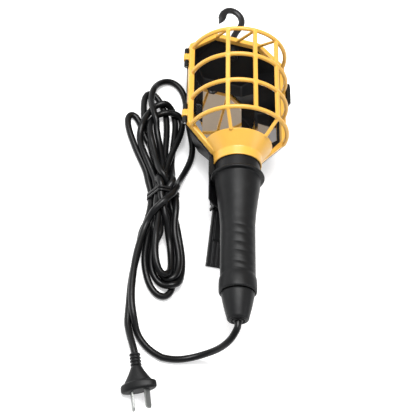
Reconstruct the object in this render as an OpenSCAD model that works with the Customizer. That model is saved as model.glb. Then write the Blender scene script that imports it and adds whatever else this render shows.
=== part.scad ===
// Hand-held work light: an open cage that swings off a faceted rear shell with a
// mirror reflector, on a rubber-sleeved handle, with a swivel hook at the head,
// a folding stand behind the handle and a tied mains lead that ends in a plug.
// Every module is drawn in the lamp frame: y runs along the lamp from the cord end
// (y = 0) to the hook, z = 0 is the handle's axis, +z is the open front.
// place() then sets the lamp on its back on z = 0 and centres it.

/* [Handle] */
// Length of the tapered cord boot that shows below the sleeve
boot_len = 27; // [22:1:40]
// Radius of the boot at its cord end
boot_end_r = 10.4; // [9:0.1:12]
// Radius of the boot where it meets the sleeve
boot_top_r = 15.6; // [14:0.1:17]
// Radius of the raised band at the sleeve's lower end
band_r = 17.6; // [16.8:0.1:19]
// Length of the raised band
band_len = 14; // [8:1:20]
// Radius of the straight, lower part of the grip
grip_r = 16.6; // [16:0.1:18]
// Radius of the grip under the hand guard
grip_top_r = 22.3; // [20:0.1:24]
// Radius of the thin hand guard
guard_r = 26.2; // [24:0.1:30]
// Station of the hand guard's top face
guard_y = 153; // [140:1:170]

/* [Cage] */
// Radius of the hoops, to the middle of their stock
hoop_r = 49; // [44:0.5:56]
// Diameter of the hoop stock
hoop_d = 4.4; // [3.6:0.1:6]
// Number of hoops
hoop_count = 4; // [3:1:5]
// Distance between hoops
hoop_pitch = 32; // [26:1:36]
// Station of the lowest hoop
hoop_y = 202; // [196:1:210]
// Angle between neighbouring lengthwise bars
bar_step = 32; // [24:1:38]
// Width of a lengthwise bar
bar_w = 4; // [3:0.1:6]
// Half width of the frame at the split plane
frame_hw = 52.5; // [50:0.5:58]
// Width of the frame's rail
rail_w = 5.5; // [4:0.1:8]
// Height of the frame's rail
rail_h = 6; // [4:0.5:9]

/* [Rear shell] */
// Height of the handle's axis above the flat back
axis_h = 48; // [44:1:56]
// Half width of the flat back
back_hw = 23; // [18:1:28]
// Wall of the rear shell
wall = 2.2; // [1.6:0.1:3]
// Height of the split plane above the handle's axis
split_z = -4; // [-6:0.5:0]

/* [Lampholder] */
// Radius of the E27 thread in the lampholder
socket_r = 13.35; // [13:0.05:14]
// Depth of the threaded shell
socket_depth = 22; // [18:1:26]
// Radius of the lampholder body
holder_r = 19.2; // [17:0.1:19.5]

/* [Hook] */
// Diameter of the hook stock
hook_d = 6.4; // [5:0.1:8]

/* [Stand] */
// Half width of the folding stand
stand_hw = 15.4; // [12:0.1:18]
// Station of the stand's hinge
stand_y = 134; // [126:1:140]
// Station of the stand's foot
foot_y = 71.5; // [68:0.5:90]

/* [Cord] */
// Diameter of the mains lead
cord_d = 6.5; // [5:0.1:8]

/* [Hidden] */
$fn = 64;

YELLOW = "#ffd24a";
BLACK = "#2a2b2c";
STEEL = "#b9bcc0";
BRASS = "#c9a24a";
CERAMIC = "#e9e6dd";

// Gaps between faces: a push fit, and pieces that move past each other
fit = 0.1;
clear = 0.3;

// Stations along the lamp
band_y = boot_len + 2.5;
grip_y = band_y + band_len;
collar_y = guard_y + 12;
collar_top_y = collar_y + 9;
cone_top_y = collar_top_y + 14;
top_hoop_y = hoop_y + (hoop_count - 1) * hoop_pitch;
shoulder_y = top_hoop_y + 4.5;
crown_y = top_hoop_y + 27;
crown_hw = 25;
waist_y = hoop_y + 3;
skirt_y = waist_y - 29;
skirt_hw = 26;

// Collar, neck and cone
neck_r = 21.8;
collar_r = 23.6;
cone_r = 34.5;

// Rear shell section, from the rim to the flat back
rim_hw = 50.5;
knee_hw = 35.5;
knee_z = -35.5;
neck_back_z = -25;
skirt_turn = atan2(waist_y - skirt_y, frame_hw - skirt_hw);
skirt_lean = 23.5;
lip_t = 3;
full_y = waist_y + 3;

// Hinge and latch
hinge_x = frame_hw + 1.6;
knuckle_r = 2.5;
cage_knuckle_r = 3.2;
knuckle_len = 7.4;
knuckle_gap = 0.4;
hinge_pin_r = 1.2;
hinge_reach = 1.5 * knuckle_len + knuckle_gap;
hinge_upper_y = top_hoop_y - 10.5;
hinge_lower_y = hoop_y + 15.6;
latch_y = hoop_y + 65;
latch_len = 24;
latch_x = frame_hw + 2.8;
latch_z = split_z - 6;
latch_pin_x = latch_x - 1.2;
latch_pin_r = 1.05;
latch_nose_x = 53.9;
lug_x = 53.5;
outer_x = frame_hw + 6.4;

// Hook
hook_z = -14;
hook_stem_r = 3;
hook_boss_r = 6.5;
hook_hole_y = 318;
hook_foot_y = hook_hole_y + 17;
hook_collar_y = hook_hole_y + 5.4;
hook_apex_y = 375.4;
mid_y = (hook_apex_y + hook_d / 2) / 2;
// The hook's line, as [x, y] in its own plane
HOOK_ROUTE = [[0, hook_collar_y + 1.5], [0, hook_foot_y], [1.5, 340], [4, 346], [7, 351.5], [9.6, 357.5],
    [10.4, 363.5], [8.8, 369.5], [4.8, 373.8], [-0.8, hook_apex_y], [-6.4, 373.4], [-10.4, 368.8],
    [-12.2, 363], [-13.4, 358.5], [-14.6, 354.5]];

// Handle core
core_r = 14.5;
core_bore_r = 11.5;
holder_y = 160;
holder_len = 35;
holder_screw_z = 16.75;
socket_y = holder_y + holder_len - socket_depth;

// Saddle screws
saddle_r = 28.4;
saddle_screw_x = 15;
saddle_screw_y = collar_y + 4;
saddle_head_z = -24.3;

// Stand
stand_pin_r = 1.5;
stand_z = -31.6;
stand_barrel_r = 2.8;
stand_rib_z = -1.2;
stand_panel = 33;
stand_top_hw = 14.1;
stand_angle = atan2(axis_h + stand_z, stand_y - foot_y);
stand_len = (axis_h + stand_z + stand_rib_z * cos(stand_angle)) / sin(stand_angle) - 0.1;

// Cord and plug. The hank lies on the floor beside the lamp.
floor_z = -axis_h;
cord_r = cord_d / 2;
hank_h = 13;
hank_single_h = 6.6;
hank_waist_h = 20;
tie_y = 140;
tie_x0 = -75;
tie_w = 24;
tie_len = 6;
tie_t = 1.2;
plug_turn = 9.5;
plug_roll = 34;
plug_x = -84;
plug_y = -29.5;
plug_z = floor_z + 11.5;
flange_hw = 16.6;
flange_hh = 8;
blade_pitch = 13.7;
blade_lean = 60;

// The lead from the boot down to the floor and round to the hank
EXIT_ROUTE = [[0, 0, 0], [0, -4.5, 0], [-1.5, -9.5, -3], [-3.5, -14, -9], [-6.5, -17, -16], [-10, -18.5, -24],
    [-15, -19.5, -32], [-22, -21, -38.5], [-30, -23, -42.6], [-39, -25, -44.4], [-48, -26, -44.7],
    [-57, -25.5, -44.7], [-65, -23, -44.7], [-71.5, -18.5, -44.7], [-76.5, -12, -44.7], [-80, -4, -44.7],
    [-82, 6, -44.7], [-82.5, 18, -44.7], [-82.5, 30, -44.7], [-82.5, 42, -44.7]];
// The lead from the hank to the plug
LEAD_ROUTE = [[-89.5, 42, -44.7], [-89.5, 28, -44.7], [-89.5, 14, -44.7], [-89.2, 2, -44.4],
    [-88, -9, -42.4], [-86, -20, -38.3], [plug_x, plug_y, plug_z]];
// One core's line from the cord's cut end to its terminal, for the +x side
WIRE_ROUTE = [[1.4, 62, 0], [1.4, 80, 0], [1.8, 100, 0], [3, 122, 0], [5, 142, 0], [6.6, 152, 0],
    [7, 157.4, 0]];

module place() { translate([0, -mid_y, axis_h]) children(); }

// A round bar along the lamp, from one station to another
module rod(x, z, y0, y1, r) {
    translate([x, y0, z]) rotate([-90, 0, 0]) cylinder(r = r, h = y1 - y0);
}

// A round bar through the thickness of the lamp
module post(x, y, z0, z1, r) { translate([x, y, z0]) cylinder(r = r, h = z1 - z0); }

// A round bar across the lamp
module cross_rod(x0, x1, y, z, r) {
    translate([x0, y, z]) rotate([0, 90, 0]) cylinder(r = r, h = x1 - x0);
}

// The front half of a ring about the lamp's axis
module half_ring(y, r) {
    translate([0, y, 0]) rotate([90, 0, 0]) rotate_extrude(angle = 180) translate([r, 0]) children();
}

// Outline of the cage frame, drawn smaller by inset
function frame_outline(inset) = let(s = inset * 0.6) [
    [-skirt_hw + inset * 0.4, skirt_y + inset * 0.5], [skirt_hw - inset * 0.4, skirt_y + inset * 0.5],
    [frame_hw - inset, waist_y + s * 0.5], [frame_hw - inset, shoulder_y - s],
    [crown_hw - s * 0.5, crown_y - inset], [-crown_hw + s * 0.5, crown_y - inset],
    [-frame_hw + inset, shoulder_y - s], [-frame_hw + inset, waist_y + s * 0.5]];

module slab(inset, z0, z1) {
    translate([0, 0, z0]) linear_extrude(z1 - z0) polygon(frame_outline(inset));
}

// ---- Front cage: hoops, bars, frame, ribs, cone and half collar in one moulding ----

module cage_bar(angle, y0, y1) {
    bar_r = hoop_r - 0.3;
    rotate([0, angle, 0]) translate([-bar_w / 2, y0, bar_r - 1.8]) cube([bar_w, y1 - y0, 3.6]);
}

// A straight bar between two points, for the lower bars and the crown ribs
module strut(a, b, r) {
    d = b - a;
    len = norm(d);
    translate(a) rotate([0, acos(d[2] / len), atan2(d[1], d[0])]) cylinder(r = r, h = len);
}

function on_hoop(angle, y) = [hoop_r * sin(angle), y, hoop_r * cos(angle)];
function on_cone(angle) = [(cone_r - 1) * sin(angle), cone_top_y - 1.5, (cone_r - 1) * cos(angle)];

// Room round the hinge line for the other half's knuckle
module knuckle_relief(y, r) {
    rod(-hinge_x, split_z, y - knuckle_len / 2 - clear, y + knuckle_len / 2 + clear, r + clear);
}

module cage_hinge_knuckle(y) {
    difference() {
        union() {
            rod(-hinge_x, split_z, y - knuckle_len / 2, y + knuckle_len / 2, cage_knuckle_r);
            translate([-hinge_x, y - knuckle_len / 2, split_z]) cube([rail_w, knuckle_len, cage_knuckle_r]);
        }
        rod(-hinge_x, split_z, y - knuckle_len, y + knuckle_len, hinge_pin_r + 0.05);
    }
}

module cage_funnel() {
    difference() {
        rotate([-90, 0, 0]) rotate_extrude() polygon([
            [neck_r + clear, collar_y], [collar_r, collar_y], [collar_r + 0.5, collar_top_y],
            [cone_r, cone_top_y], [cone_r - 2.2, cone_top_y], [neck_r + clear, collar_top_y + 1.5]]);
        translate([-cone_r - 5, collar_y - 5, split_z - 60]) cube([2 * cone_r + 10, 40, 60]);
        neck_swing_room();
    }
}

// Straight sides below the axis, so the funnel lifts off the round neck
module neck_swing_room() {
    half = neck_r + clear + 0.2;
    translate([-half, collar_y - 5, split_z - 1])
        cube([2 * half, cone_top_y - collar_y + 7, 1 - split_z]);
}

module front_cage() color(YELLOW) place() {
    for (i = [0 : hoop_count - 1]) half_ring(hoop_y + i * hoop_pitch, hoop_r) circle(d = hoop_d, $fn = 32);
    for (a = [-bar_step, 0, bar_step]) cage_bar(a, hoop_y - 1.5, top_hoop_y + 1.5);
    for (a = [-bar_step, bar_step]) strut(on_hoop(a, hoop_y), on_cone(a), 1.9);
    for (a = [-1, 0, 1])
        strut(on_hoop(a * bar_step, top_hoop_y), [a * crown_hw * 0.92, crown_y - 3, split_z + 3], 1.7);
    difference() {
        slab(0, split_z, split_z + rail_h);
        slab(rail_w, split_z - 1, split_z + rail_h + 1);
        rod(0, 0, skirt_y - 12, skirt_y + 12, neck_r + clear);
        neck_swing_room();
        for (y = [hinge_upper_y, hinge_lower_y], s = [-1, 1])
            knuckle_relief(y + s * (knuckle_len + knuckle_gap), knuckle_r);
    }
    cage_funnel();
    for (y = [hinge_upper_y, hinge_lower_y]) cage_hinge_knuckle(y);
    // Catch lug that the latch snaps over
    translate([frame_hw - 3, latch_y - 5, split_z]) cube([lug_x - frame_hw + 3, 10, 4]);
}

// ---- Rear shell ----

// Cross section of the shell, from the rim to the flat back, drawn smaller by t
module shell_section(t, y0, y1) {
    translate([0, y1, 0]) rotate([90, 0, 0]) linear_extrude(y1 - y0) polygon([
        [-rim_hw + t, 20], [-rim_hw + t, split_z], [-knee_hw + t, knee_z + t * 0.4],
        [-back_hw + t * 0.4, floor_z + t], [back_hw - t * 0.4, floor_z + t],
        [knee_hw - t, knee_z + t * 0.4], [rim_hw - t, split_z], [rim_hw - t, 20]]);
}

// Side view of the shell: skirt slope, flat back, sloping crown
module shell_side(t) {
    translate([-80, 0, 0]) rotate([90, 0, 90]) linear_extrude(160) polygon([
        [skirt_y + t, 20], [skirt_y + t, neck_back_z + t * 0.5], [full_y + t * 0.3, floor_z + t],
        [shoulder_y - t * 0.7, floor_z + t], [crown_y - t, split_z], [crown_y - t, 20]]);
}

// Everything outside the left diagonal wall of the skirt, which leans in towards the back
module skirt_corner(t) {
    translate([-rim_hw, waist_y, split_z]) rotate([0, 0, -skirt_turn]) rotate([skirt_lean, 0, 0])
        translate([-80, t - 60, -80]) cube([160, 60, 85]);
}

module shell_body(t) {
    difference() {
        intersection() {
            shell_section(t, skirt_y - 5, crown_y + 5);
            shell_side(t);
            slab(t + 2, floor_z - 5, split_z - clear);
        }
        skirt_corner(t);
        mirror([1, 0, 0]) skirt_corner(t);
    }
}

// Half sleeve that wraps the back of the neck and the grip
module saddle(y0, y1, r0, r1, rim) {
    difference() {
        rod(0, 0, y0, y1, r1);
        rod(0, 0, y0 - 1, y1 + 1, r0);
        translate([-40, y0 - 2, rim]) cube([80, y1 - y0 + 4, 60]);
    }
}

module shell_knuckle(y) {
    difference() {
        union() {
            rod(-hinge_x, split_z, y - knuckle_len / 2, y + knuckle_len / 2, knuckle_r);
            translate([-hinge_x, y - knuckle_len / 2, split_z - knuckle_r])
                cube([rail_w, knuckle_len, knuckle_r - clear]);
        }
        rod(-hinge_x, split_z, y - knuckle_len, y + knuckle_len, hinge_pin_r);
    }
}

module stand_ear(s) {
    translate([s * (stand_top_hw + 1.3) - 1, stand_y - 4, stand_z - 3.5]) cube([2, 12, 12.9]);
}

// Room for a saddle screw and its head, from below
module saddle_screw_room(s) {
    post(s * saddle_screw_x, saddle_screw_y, floor_z, -10, 1.6);
    post(s * saddle_screw_x, saddle_screw_y, floor_z, saddle_head_z, 3.1);
}

module rear_shell() color(BLACK) place() {
    difference() {
        union() {
            difference() {
                union() {
                    shell_body(0);
                    difference() {
                        slab(0, split_z - clear - lip_t, split_z - clear);
                        slab(rail_w - 1, split_z - 10, split_z);
                    }
                }
                shell_body(wall);
                slab(rail_w - 0.5, split_z - clear - 0.6, split_z + 1);
                rod(0, 0, skirt_y - 10, cone_top_y, neck_r + fit);
            }
            rod(0, hook_z, hook_hole_y - 3.3, hook_hole_y + 5, hook_boss_r);
            saddle(guard_y + 1, skirt_y + 8, neck_r + fit, saddle_r, -6);
            saddle(stand_y - 4, guard_y + 3, guard_r + 0.5, saddle_r, -12);
            for (s = [-1, 1]) stand_ear(s);
        }
        rod(0, hook_z, hook_hole_y - 20, hook_hole_y + 20, hook_stem_r + 0.05);
        for (s = [-1, 1]) saddle_screw_room(s);
        cross_rod(-stand_hw - 6, stand_hw + 6, stand_y, stand_z, stand_pin_r);
        for (p = reflector_fixings()) post(p[0], p[1], floor_z - 1, floor_z + 10, 1.3);
        for (y = [hinge_upper_y, hinge_lower_y]) knuckle_relief(y, cage_knuckle_r);
    }
    for (y = [hinge_upper_y, hinge_lower_y], s = [-1, 1])
        shell_knuckle(y + s * (knuckle_len + knuckle_gap));
    for (s = [-1, 1]) latch_ear(s);
}

module latch_ear(s) {
    difference() {
        translate([rim_hw - 1.5, latch_y + s * (latch_len / 2 + 1.7) - 1.4, latch_z - 3])
            cube([5.5, 2.8, 5.5 + clear]);
        rod(latch_pin_x, latch_z, latch_y - 30, latch_y + 30, latch_pin_r + 0.01);
    }
}

// ---- Reflector ----

function reflector_fixings() = [for (x = [-14, 14]) [x, full_y + 7]];

module reflector() color("#d8dadc") place() {
    gap = wall + 0.25;
    sheet = 0.6;
    y0 = full_y + 4;
    y1 = shoulder_y - 16;
    difference() {
        intersection() {
            shell_section(gap, y0, y1);
            translate([-60, y0 - 1, floor_z]) cube([120, y1 - y0 + 2, axis_h + split_z - 4]);
        }
        shell_section(gap + sheet, y0 - 1, y1 + 1);
        for (p = reflector_fixings()) post(p[0], p[1], floor_z, floor_z + 10, 1.3);
    }
}

module reflector_screws() color(STEEL) place() {
    for (p = reflector_fixings()) {
        post(p[0], p[1], floor_z + 0.4, floor_z + wall + 0.9, 1.25);
        post(p[0], p[1], floor_z + wall + 0.9, floor_z + wall + 2.3, 2.6);
    }
}

// ---- Hinge pins and latch ----

module hinge_pins() color(STEEL) place() {
    for (y = [hinge_upper_y, hinge_lower_y])
        rod(-hinge_x, split_z, y - hinge_reach, y + hinge_reach, hinge_pin_r - 0.01);
}

module latch() color(BLACK) place() {
    y0 = latch_y - latch_len / 2;
    plate_t = 2.2;
    rib_r = outer_x - latch_x - plate_t;
    nose_h = 2.4;
    difference() {
        union() {
            rod(latch_pin_x, latch_z, y0, y0 + latch_len, 2.4);
            translate([latch_x, y0, latch_z]) cube([plate_t, latch_len, 13]);
            translate([latch_nose_x, y0, latch_z + 13 - nose_h])
                cube([latch_x + plate_t - latch_nose_x, latch_len, nose_h]);
            for (i = [0 : 3])
                rod(latch_x + plate_t, latch_z + 3 + 2.4 * i, y0 + 1, y0 + latch_len - 1, rib_r);
        }
        rod(latch_pin_x, latch_z, y0 - 1, y0 + latch_len + 1, latch_pin_r + 0.05);
    }
}

module latch_pin() color(STEEL) place()
    rod(latch_pin_x, latch_z, latch_y - latch_len / 2 - 3, latch_y + latch_len / 2 + 3, latch_pin_r);

// ---- Hook ----

module hook() color(BLACK) place() {
    rod(0, hook_z, hook_hole_y - 8, hook_collar_y + 1, hook_stem_r);
    rod(0, hook_z, hook_collar_y, hook_collar_y + 3, hook_d / 2 + 1.4);
    swept([for (p = HOOK_ROUTE) [p[0], p[1], hook_z]], hook_d / 2, 16);
}

module hook_washer() color(STEEL) place() difference() {
    rod(0, hook_z, hook_hole_y - 4.6, hook_hole_y - 3.4, 6);
    rod(0, hook_z, hook_hole_y - 6, hook_hole_y, hook_stem_r + 0.2);
}

module hook_nut() color(STEEL) place() difference() {
    translate([0, hook_hole_y - 8, hook_z]) rotate([-90, 0, 0]) cylinder(r = 5.6, h = 3.2, $fn = 6);
    rod(0, hook_z, hook_hole_y - 9, hook_hole_y - 3, hook_stem_r);
}

// ---- Handle ----

module rubber_grip() color(BLACK) place() {
    rotate([-90, 0, 0]) rotate_extrude() polygon([
        [core_r + 0.05, boot_len + 2.6], [boot_top_r, boot_len + 0.5], [band_r, band_y + 0.5],
        [band_r + 0.2, band_y + 1.5], [band_r, grip_y - 2.5], [grip_r + 0.2, grip_y], [grip_r, grip_y + 10],
        [grip_r, grip_y + 56], [grip_r + 1, grip_y + 68], [grip_top_r - 2.4, guard_y - 24],
        [grip_top_r - 0.4, guard_y - 9], [grip_top_r, guard_y - 3.4], [guard_r - 0.5, guard_y - 3.2],
        [guard_r, guard_y - 2.2], [guard_r - 0.3, guard_y - 0.4], [core_r + 0.05, guard_y - 0.1]]);
}

module handle_core() color("#1d1e1f") place() difference() {
    union() {
        rod(0, 0, boot_len + 2.7, guard_y + 1, core_r);
        rod(0, 0, guard_y, holder_y + 26, neck_r);
    }
    rod(0, 0, boot_len, guard_y + 5, core_bore_r);
    rod(0, 0, guard_y + 3, holder_y + 30, holder_r + fit);
    for (s = [-1, 1]) post(s * saddle_screw_x, saddle_screw_y, -24, 0, 1.25);
    for (s = [-1, 1]) rod(0, s * holder_screw_z, guard_y + 0.4, guard_y + 5, 1.45);
}

module lampholder_body() color(CERAMIC) place() difference() {
    rod(0, 0, holder_y, holder_y + holder_len, holder_r);
    rod(0, 0, socket_y - 4, holder_y + holder_len + 1, socket_r + 0.9);
    for (s = [-1, 1]) rod(s * 7, 0, holder_y - 1, socket_y, 1.25);
    for (s = [-1, 1]) rod(0, s * holder_screw_z, holder_y - 1, holder_y + holder_len, 1.5);
    for (s = [-1, 1]) rod(0, s * holder_screw_z, holder_y + holder_len - 8, holder_y + holder_len + 1, 2.1);
}

// Threaded shell, open at the bottom, where its wall tapers in as the lamp's cap does
module lampholder_shell() color(BRASS) place() {
    shell_y = socket_y - 3.9;
    rotate([-90, 0, 0]) rotate_extrude() polygon([
        [8.5, shell_y], [socket_r + 0.85, shell_y], [socket_r + 0.85, holder_y + holder_len - 1],
        [socket_r, holder_y + holder_len - 1], [socket_r, socket_y - 1.5], [8.5, shell_y + 0.6]]);
}

module centre_contact() color(BRASS) place() {
    translate([-2.5, socket_y - 3.9, -6]) cube([5, 0.6, 12]);
    rod(0, 0, socket_y - 3.4, socket_y - 1.8, 2.2);
}

module lampholder_screws() color(STEEL) place() for (s = [-1, 1]) {
    rod(0, s * holder_screw_z, guard_y + 0.5, holder_y + holder_len - 7.9, 1.4);
    rod(0, s * holder_screw_z, holder_y + holder_len - 7.9, holder_y + holder_len - 6, 2);
}

module terminal_screws() color(BRASS) place() for (s = [-1, 1]) {
    rod(s * 7, 0, holder_y - 0.9, socket_y - 4.5, 1.2);
    rod(s * 7, 0, holder_y - 2.4, holder_y - 0.9, 2.6);
}

module inner_wire(s) {
    swept([for (p = WIRE_ROUTE) [s * p[0], p[1], p[2]]], 1.2, 8);
}

module live_wire() color("#7a4a2a") place() inner_wire(1);

module neutral_wire() color("#2f6fb5") place() inner_wire(-1);

module cord_boot() color(BLACK) place() difference() {
    rotate([-90, 0, 0]) rotate_extrude() polygon([
        [cord_r + 0.05, 0], [boot_end_r - 3.4, 0], [boot_end_r - 1.2, 1], [boot_end_r, 3.6],
        [boot_top_r - 0.1, boot_len], [core_bore_r - 0.1, boot_len + 2.4],
        [core_bore_r - 0.1, boot_len + 14], [cord_r + 0.05, boot_len + 14]]);
    rotate([-90, 0, 0]) rotate_extrude() polygon([[5, -1], [6.6, -1], [6.6, 0.9], [5, 0.9]]);
}

module cord_inner() color("#17181a") place() rod(0, 0, 0, WIRE_ROUTE[0][1], cord_r);

module cord_clamp() color("#8c8f93") place() difference() {
    rod(0, 0, boot_len + 17, boot_len + 27, core_bore_r - 0.1);
    rod(0, 0, boot_len + 16, boot_len + 28, cord_r + 0.02);
    for (s = [-1, 1]) post(s * 7, boot_len + 22, -20, 20, 1.25);
}

module clamp_screws() color(STEEL) place() for (s = [-1, 1]) {
    post(s * 7, boot_len + 22, -6, 6, 1.2);
}

module saddle_screws() color(STEEL) place() for (s = [-1, 1]) {
    post(s * saddle_screw_x, saddle_screw_y, saddle_head_z, -13.5, 1.2);
    post(s * saddle_screw_x, saddle_screw_y, saddle_head_z - 2.1, saddle_head_z, 2.8);
}

// ---- Folding stand ----

module stand_frame() {
    translate([0, stand_y, stand_z]) rotate([stand_angle, 0, 0]) mirror([0, 1, 0]) children();
}

// The stand's plate, narrower at the hinge, drawn smaller by inset at its sides
module stand_outline(inset) {
    top = stand_top_hw - inset;
    foot = stand_hw - inset;
    polygon([[-top, 2 - inset], [-top, 6], [-foot, stand_len + inset], [foot, stand_len + inset], [top, 6],
        [top, 2 - inset]]);
}

module stand() color(BLACK) place() difference() {
    stand_frame() {
        translate([0, 0, -1]) linear_extrude(2) stand_outline(0);
        translate([0, 0, stand_rib_z]) linear_extrude(4) difference() {
            stand_outline(0);
            stand_outline(2);
        }
        // Smooth thumb panel on the upper half, grip ribs below it
        translate([-stand_top_hw + 3.5, 4, 0.5]) cube([2 * stand_top_hw - 7, stand_panel - 4, 1.9]);
        for (x = [-9 : 4.5 : 9])
            translate([x - 0.6, stand_panel + 2, 0.5]) cube([1.2, stand_len - stand_panel - 3, 1.5]);
        translate([-stand_top_hw, 0, 0]) rotate([0, 90, 0])
            cylinder(r = stand_barrel_r, h = 2 * stand_top_hw);
    }
    cross_rod(-stand_hw - 6, stand_hw + 6, stand_y, stand_z, stand_pin_r + 0.06);
}

module stand_pin() color(STEEL) place()
    cross_rod(-stand_top_hw - 2.6, stand_top_hw + 2.6, stand_y, stand_z, stand_pin_r);

// ---- Mains lead ----

function unit(v) = v / norm(v);
function tangent(path, i) = unit(path[min(i + 1, len(path) - 1)] - path[max(i - 1, 0)]);
function side(t) = unit(cross(t, abs(t[2]) > 0.9 ? [1, 0, 0] : [0, 0, 1]));
function ring_at(p, t, r, n) = let(a = side(t), b = cross(t, a))
    [for (k = [0 : n - 1]) p + r * (a * cos(360 * k / n) + b * sin(360 * k / n))];

// Tube of n sides along the points of a path
module swept(path, r, n) {
    last = len(path) - 1;
    rings = [for (i = [0 : last]) each ring_at(path[i], tangent(path, i), r, n)];
    sides = [for (i = [0 : last - 1], k = [0 : n - 1])
        [i * n + k, (i + 1) * n + k, (i + 1) * n + (k + 1) % n, i * n + (k + 1) % n]];
    start = [[for (k = [0 : n - 1]) k]];
    finish = [[for (k = [0 : n - 1]) last * n + n - 1 - k]];
    polyhedron(rings, concat(start, sides, finish));
}

module cord_exit() color(BLACK) place() swept(EXIT_ROUTE, cord_r, 10);

module cord_lead() color(BLACK) place() swept(LEAD_ROUTE, cord_r, 10);

// Flat bag shape of the tied loops: narrow at the tie, wide above it
module hank_outline() {
    polygon([[-77, 42], [-93, 42], [-91, 62], [-79, 110], [tie_x0, tie_y - 8], [tie_x0, tie_y + 8],
        [-92, 178], [-103, 205], [-103, 226], [-96, 236], [-90, 240], [-89, 262], [-84, 271], [-76, 278],
        [-68, 289], [-60, 292], [-50, 289], [-43, 282], [-39, 272], [-38, 258], [-38, 200],
        [-40, 190], [-51, tie_y + 8], [-51, tie_y - 8], [-37, 84], [-36, 62], [-42, 51], [-49, 46],
        [-52, 38], [-59, 32], [-67, 36], [-75, 42]]);
}

module cord_hank() color(BLACK) place() {
    translate([0, 0, floor_z]) linear_extrude(hank_h) hank_outline();
    translate([0, 0, floor_z]) linear_extrude(hank_single_h)
        polygon([[-39, 190], [-31, 206], [-31, 222], [-38, 250]]);
    translate([tie_x0, tie_y - 8, floor_z]) cube([tie_w, 16, hank_waist_h]);
}

module cord_tie() color("#202122") place() difference() {
    translate([tie_x0 - tie_t, tie_y - tie_len / 2, floor_z])
        cube([tie_w + 2 * tie_t, tie_len, hank_waist_h + tie_t]);
    translate([tie_x0, tie_y - tie_len, floor_z - 1]) cube([tie_w, 2 * tie_len, hank_waist_h + 1]);
}

// ---- Plug ----

module plug_frame() {
    translate([plug_x, plug_y, plug_z]) rotate([0, -plug_roll, plug_turn]) mirror([0, 1, 0]) children();
}

module plug_relief() color(BLACK) place() plug_frame() {
    rotate([-90, 0, 0]) cylinder(r = 3.9, h = 12.5);
    for (i = [0 : 3]) translate([0, 0.5 + 3.1 * i, 0]) rotate([-90, 0, 0]) cylinder(r = 4.8, h = 1.7);
}

// A tapering body that ends in an oval flange
module plug_body() color(BLACK) place() plug_frame() {
    intersection() {
        translate([0, 0, -flange_hh]) linear_extrude(2 * flange_hh) polygon([
            [-4.6, 12.5], [4.6, 12.5], [13.6, 27], [flange_hw, 28], [flange_hw, 33.5], [12, 35],
            [-12, 35], [-flange_hw, 33.5], [-flange_hw, 28], [-13.6, 27]]);
        translate([-25, 0, 0]) rotate([90, 0, 90]) linear_extrude(50) polygon([
            [12.5, -4.6], [27, -7], [28, -flange_hh], [35, -flange_hh], [35, flange_hh],
            [28, flange_hh], [27, 7], [12.5, 4.6]]);
        translate([0, 12, 0]) rotate([-90, 0, 0]) linear_extrude(24)
            polygon([for (a = [15 : 30 : 345]) [flange_hw * cos(a), flange_hh * sin(a)]]);
    }
}

// Two flat blades that lean towards each other
module plug_pins() color(STEEL) place() plug_frame() for (s = [-1, 1])
    translate([s * blade_pitch / 2, 35, 0]) rotate([0, s * blade_lean, 0])
        translate([-3.15, -0.5, -0.8]) cube([6.3, 17.5, 1.6]);

front_cage();
rear_shell();
reflector();
reflector_screws();
hinge_pins();
latch();
latch_pin();
hook();
hook_washer();
hook_nut();
rubber_grip();
handle_core();
lampholder_body();
lampholder_shell();
centre_contact();
lampholder_screws();
terminal_screws();
live_wire();
neutral_wire();
cord_boot();
cord_inner();
cord_clamp();
clamp_screws();
saddle_screws();
stand();
stand_pin();
cord_exit();
cord_hank();
cord_tie();
cord_lead();
plug_relief();
plug_body();
plug_pins();
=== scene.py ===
import math

import bmesh
import bpy
import numpy as np
from mathutils import Matrix, Vector


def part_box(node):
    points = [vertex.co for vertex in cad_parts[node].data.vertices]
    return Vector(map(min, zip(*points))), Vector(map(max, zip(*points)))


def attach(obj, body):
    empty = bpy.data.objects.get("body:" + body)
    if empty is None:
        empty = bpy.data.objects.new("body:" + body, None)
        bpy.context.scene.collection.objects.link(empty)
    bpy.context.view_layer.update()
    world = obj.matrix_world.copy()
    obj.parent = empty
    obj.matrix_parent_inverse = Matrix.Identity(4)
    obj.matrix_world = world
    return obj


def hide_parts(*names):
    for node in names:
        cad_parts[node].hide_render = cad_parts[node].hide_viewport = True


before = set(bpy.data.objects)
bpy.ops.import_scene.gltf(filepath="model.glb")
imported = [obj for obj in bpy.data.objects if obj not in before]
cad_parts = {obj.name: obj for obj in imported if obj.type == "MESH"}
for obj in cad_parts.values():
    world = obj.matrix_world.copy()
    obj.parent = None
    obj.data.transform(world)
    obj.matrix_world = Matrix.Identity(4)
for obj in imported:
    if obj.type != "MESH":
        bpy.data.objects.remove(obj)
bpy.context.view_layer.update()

MM = 0.001
# The lamp's own lines, from the CAD nodes: its cord end, its axis and, in millimetres from that, the floor
BOOT_LOW, BOOT_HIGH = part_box("cord_boot")
START_Y = BOOT_LOW[1]
AXIS_Z = (BOOT_LOW[2] + BOOT_HIGH[2]) / 2
FLOOR_Z = round(-AXIS_Z / MM, 2)
CORD_D = 6.5 * MM


def at(x, station, z):
    """A point given in the lamp's millimetres: across, along from the cord end, and above the axis."""
    return Vector((x * MM, START_Y + station * MM, AXIS_Z + z * MM))


def link_object(name, data):
    obj = bpy.data.objects.new(name, data)
    bpy.context.scene.collection.objects.link(obj)
    return obj


# ---------------------------------------------------------------- camera

# Where the camera stands, in the lamp's millimetres, and the directions of its picture's right and top
CAMERA_POINT = (-313.455, -399.151, 810.122)
CAMERA_RIGHT = (0.94130, 0.01263, 0.33735)
CAMERA_UP = (-0.18282, 0.85914, 0.47796)
SENSOR = 36.0
LENS = 91.86


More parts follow.
